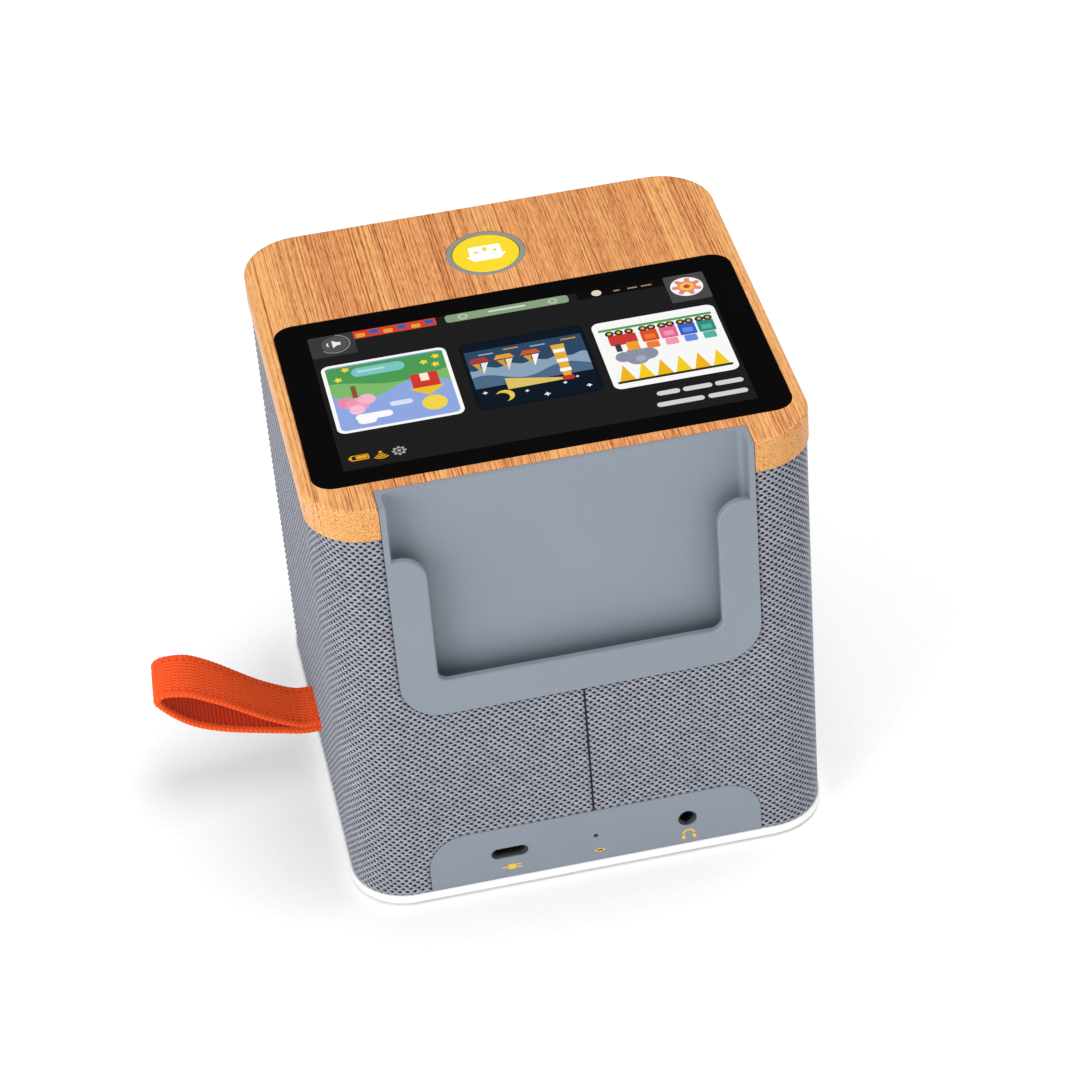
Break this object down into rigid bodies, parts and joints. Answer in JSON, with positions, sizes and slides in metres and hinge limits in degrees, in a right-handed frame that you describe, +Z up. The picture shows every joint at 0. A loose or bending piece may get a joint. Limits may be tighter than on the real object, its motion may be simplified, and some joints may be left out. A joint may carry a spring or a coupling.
{
  "type": "audio story player",
  "caption": "Cube-shaped story player for children: fabric speaker body, bamboo top with touch display and round button, rear card pocket, ports and a webbing loop.",
  "frame": {"origin": "middle of the underside of the rubber mat, on the table, midway between the two sides and between front and back", "axes": "+Z up; the user sits at -Y, where the button is; the card pocket and the ports face +Y; the webbing loop stands out to +X"},
  "size_m": [0.1543, 0.116, 0.118],
  "materials": {
    "bamboo": "oiled",
    "sleeve_cloth": "woven",
    "white_base": "satin",
    "grip_rubber": "matte",
    "shell_plastic": "moulded",
    "tray_plastic": "fine texture",
    "black_glass": "polished glass printed black behind",
    "tape": "foam tape",
    "display_metal": "pressed",
    "yellow_button": "satin gloss",
    "grey_ring": "satin",
    "orange_webbing": "woven",
    "zinc_steel": "zinc plated",
    "board_green": "solder mask",
    "chip_black": "moulded",
    "connector_cream": "moulded",
    "plunger_white": "moulded",
    "socket_metal": "pressed",
    "flex_amber": "polyimide film",
    "cell_wrap": "shrink film",
    "gasket_foam": "foam",
    "basket_steel": "black paint",
    "surround_rubber": "moulded",
    "cone_paper": "pressed pulp",
    "coil_copper": "enamelled wire",
    "magnet_ferrite": "sintered",
    "plated_iron": "zinc plated",
    "wire_black": "insulated"
  },
  "bodies": {
    "housing": {"top_plate": "bamboo", "fabric_sleeve": "sleeve_cloth", "base_cover": "white_base", "rubber_mat": "grip_rubber", "body_shell": "shell_plastic", "display_frame": "shell_plastic", "button_housing": "shell_plastic", "battery_cradle": "shell_plastic", "strap_clamp": "shell_plastic", "card_tray": "tray_plastic", "port_panel": "tray_plastic", "display_glass": "black_glass", "display_tape": "tape", "display_module": "display_metal", "processor_shield": "display_metal", "button_ring": "grey_ring", "strap_loop": "orange_webbing", "base_screws": "zinc_steel", "plate_screws": "zinc_steel", "frame_screws": "zinc_steel", "board_screws": "zinc_steel", "housing_screws": "zinc_steel", "tray_screws": "zinc_steel", "reader_screws": "zinc_steel", "port_board_screws": "zinc_steel", "battery_screws": "zinc_steel", "speaker_screws": "zinc_steel", "strap_screws": "zinc_steel", "battery_clamp": "zinc_steel", "main_board": "board_green", "switch_board": "board_green", "reader_board": "board_green", "port_board": "board_green", "board_chips": "chip_black", "reader_chip": "chip_black", "button_switch": "chip_black", "set_switch": "chip_black", "audio_jack": "chip_black", "board_connectors": "connector_cream", "reader_header": "connector_cream", "usb_socket": "socket_metal", "display_flex": "flex_amber", "button_flex": "flex_amber", "port_flex": "flex_amber", "battery_cells": "cell_wrap", "speaker_gasket": "gasket_foam", "speaker_basket": "basket_steel", "speaker_surround": "surround_rubber", "speaker_magnet": "magnet_ferrite", "speaker_pole_ring": "plated_iron", "speaker_back_plate": "plated_iron", "speaker_wires": "wire_black", "battery_wires": "wire_black"},
    "button": {"button_cap": "yellow_button", "switch_plunger": "plunger_white"},
    "set_button": {"set_plunger": "plunger_white"},
    "cone": {"speaker_cone": "cone_paper", "voice_coil": "coil_copper"}
  },
  "joints": [
    {"name": "button_press", "type": "slide", "parent": "housing", "child": "button", "axis": [0, 0, -1], "range_m": [0, 0.0005], "stiffness_N_per_m": 2500},
    {"name": "set_press", "type": "slide", "parent": "housing", "child": "set_button", "axis": [0, -1, 0], "range_m": [0, 0.00025], "stiffness_N_per_m": 3000},
    {"name": "cone_stroke", "type": "slide", "parent": "housing", "child": "cone", "axis": [0, 1, 0], "range_m": [-0.0012, 0.0012], "stiffness_N_per_m": 1500}
  ]
}
